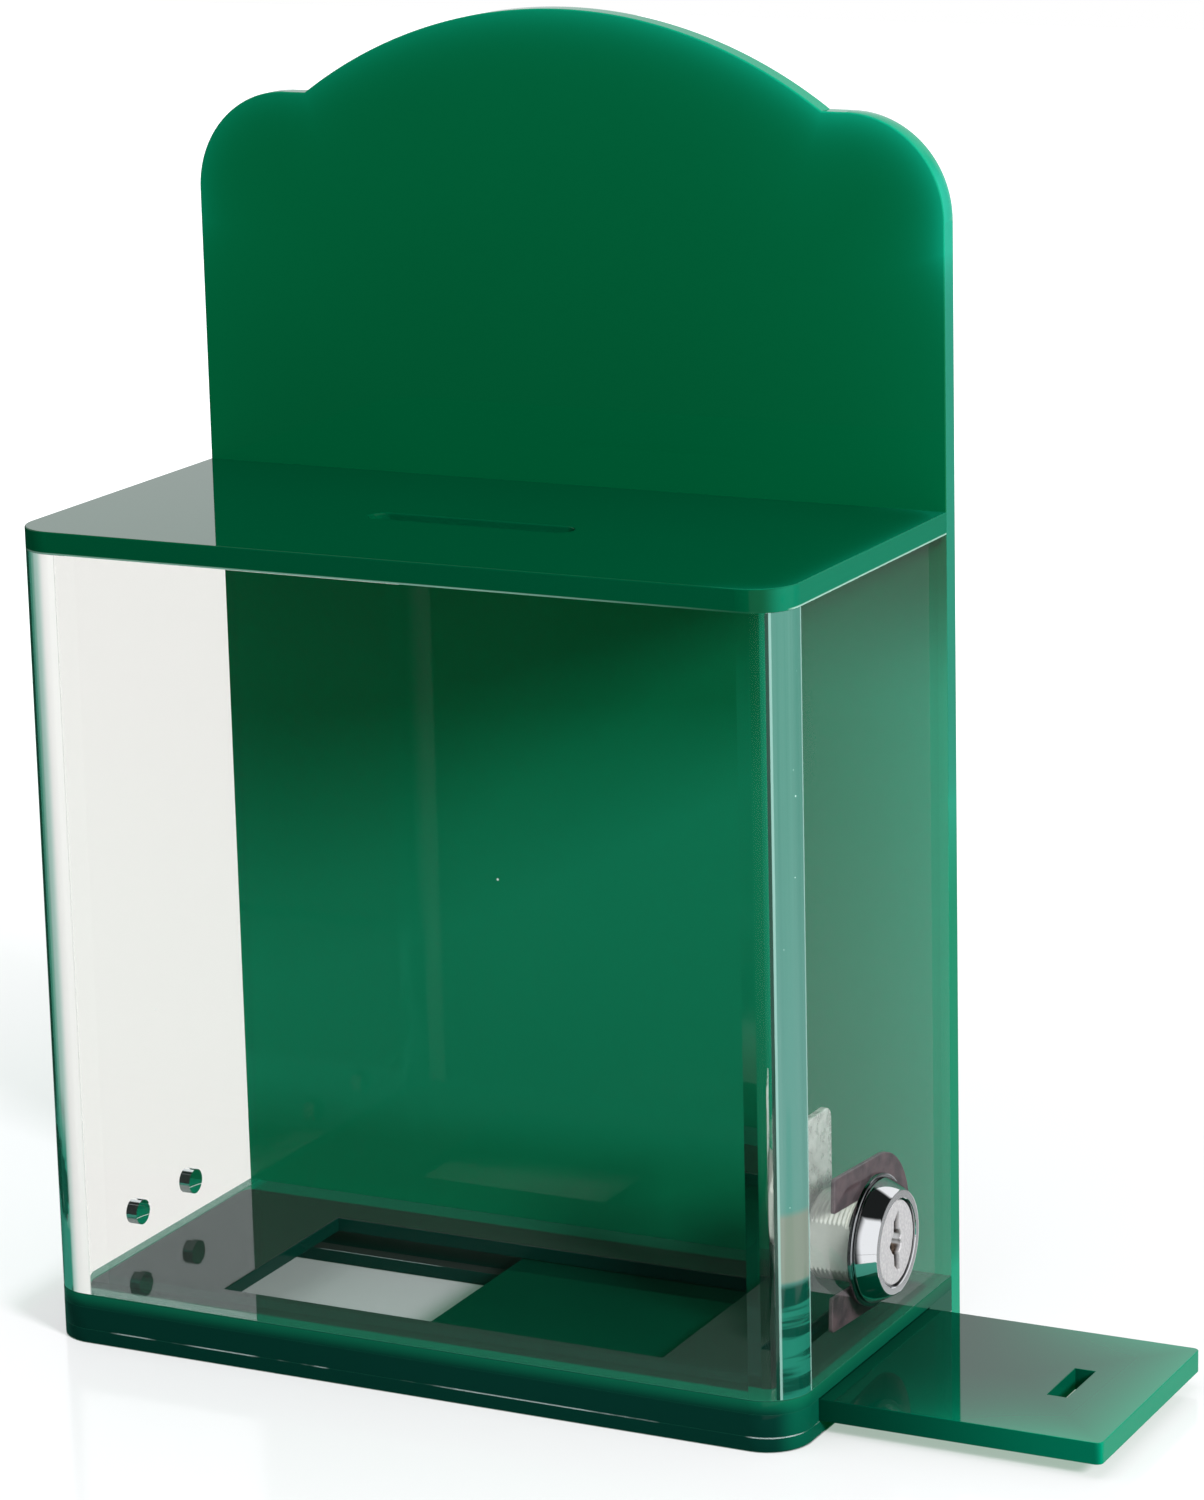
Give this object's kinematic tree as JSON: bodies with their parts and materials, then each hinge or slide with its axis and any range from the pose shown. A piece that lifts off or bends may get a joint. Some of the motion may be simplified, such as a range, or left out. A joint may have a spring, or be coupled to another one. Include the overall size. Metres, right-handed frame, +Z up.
{
  "type": "donation box",
  "caption": "Counter-top acrylic donation box: clear bent wall, green lid with coin slot, arched header panel, locking slide-out door under the floor.",
  "frame": {"origin": "centre of the footprint (case and header panel) on the surface that the box stands on", "axes": "+X to the box's right, the way the door pulls out; +Y to the header panel at the back; +Z up"},
  "size_m": [0.2393, 0.0882, 0.2816],
  "materials": {
    "green_acrylic": "deep green translucent cast acrylic sheet, glossy on its faces and polished edges",
    "clear_acrylic": "clear polished acrylic sheet with a faint green cast in its edges",
    "chrome": "bright chrome plate",
    "cast_zinc": "dull nickel over cast zinc, slightly mottled",
    "plug_face": "satin nickel",
    "spring_steel": "oiled spring steel, brown-grey",
    "steel_zinc_plated": "zinc plate",
    "brass": "punched brass"
  },
  "bodies": {
    "case": {"back_panel": "green_acrylic", "top_panel": "green_acrylic", "clear_shell": "clear_acrylic", "floor_plate": "green_acrylic", "front_rail": "green_acrylic", "back_rail": "green_acrylic", "end_stop": "green_acrylic", "bottom_plate": "green_acrylic", "trim_washer": "chrome", "lock_housing": "chrome", "lock_clip": "spring_steel"},
    "door": {"sliding_door": "green_acrylic"},
    "plug": {"lock_plug": "plug_face", "plug_wafers": "brass", "wafer_springs": "steel_zinc_plated", "stop_washer": "steel_zinc_plated", "lock_cam": "cast_zinc", "cam_star_washer": "steel_zinc_plated", "cam_screw": "steel_zinc_plated"}
  },
  "joints": [
    {"name": "door_slide", "type": "slide", "parent": "case", "child": "door", "axis": [1, 0, 0], "range_m": [-0.0615, 0.09]},
    {"name": "plug_turn", "type": "hinge", "parent": "case", "child": "plug", "pos_m": [0.0889, -0.0019, 0.033], "axis": [-1, 0, 0], "range_deg": [0, 148]}
  ]
}
